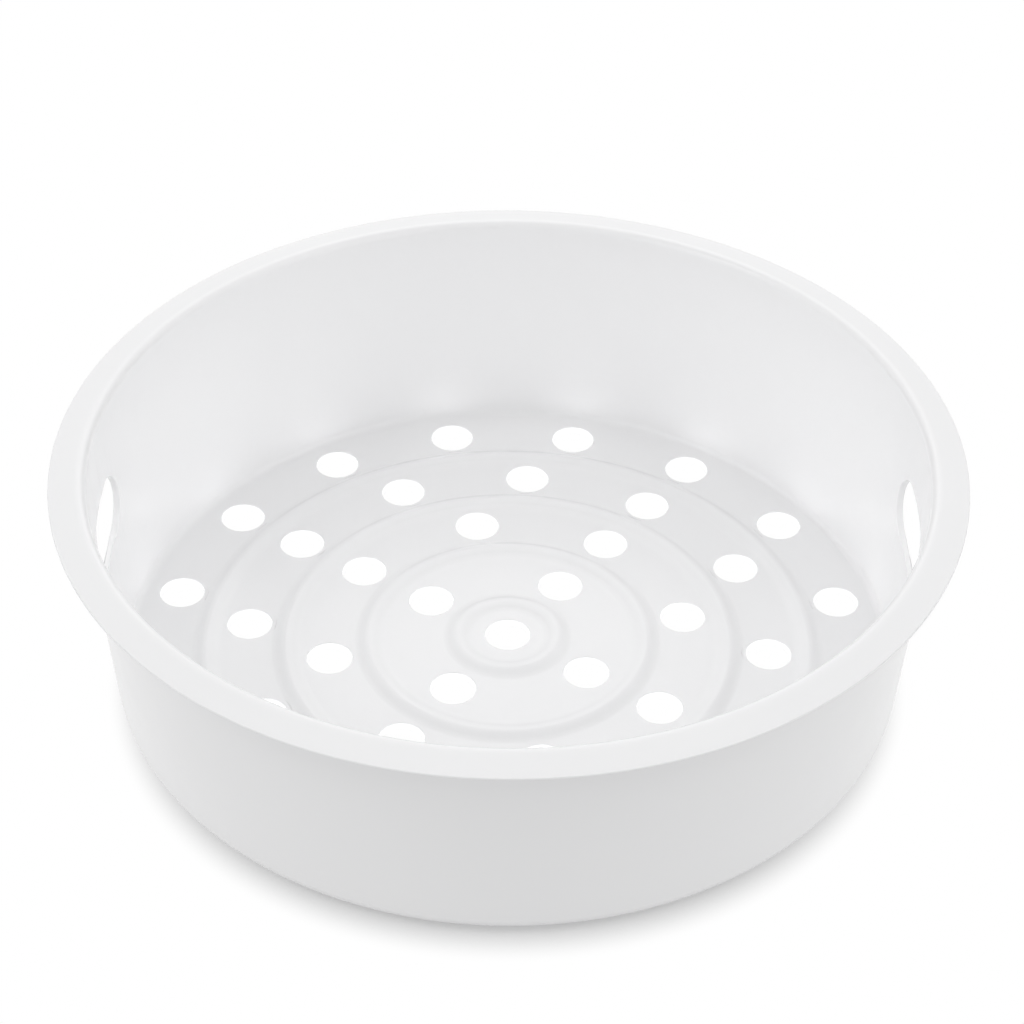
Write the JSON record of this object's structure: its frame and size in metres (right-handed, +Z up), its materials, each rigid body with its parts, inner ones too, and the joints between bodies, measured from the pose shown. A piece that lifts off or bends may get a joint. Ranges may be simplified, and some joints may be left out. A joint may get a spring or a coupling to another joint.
{
  "type": "steamer basket",
  "caption": "Round one-piece steamer basket with a flat rim flange, a tapered wall with finger slots, and a stepped, beaded floor perforated with rings of steam holes.",
  "frame": {"origin": "centre of the flat face that the basket rests on, the underside of its floor's outermost step, on the basket's axis", "axes": "+Z up along the basket's axis, out of its mouth; +X through the middle of one finger slot"},
  "size_m": [0.23, 0.23, 0.0645],
  "materials": {
    "white_polypropylene": "satin"
  },
  "bodies": {
    "root": {"steamer_basket": "white_polypropylene"}
  },
  "joints": []
}
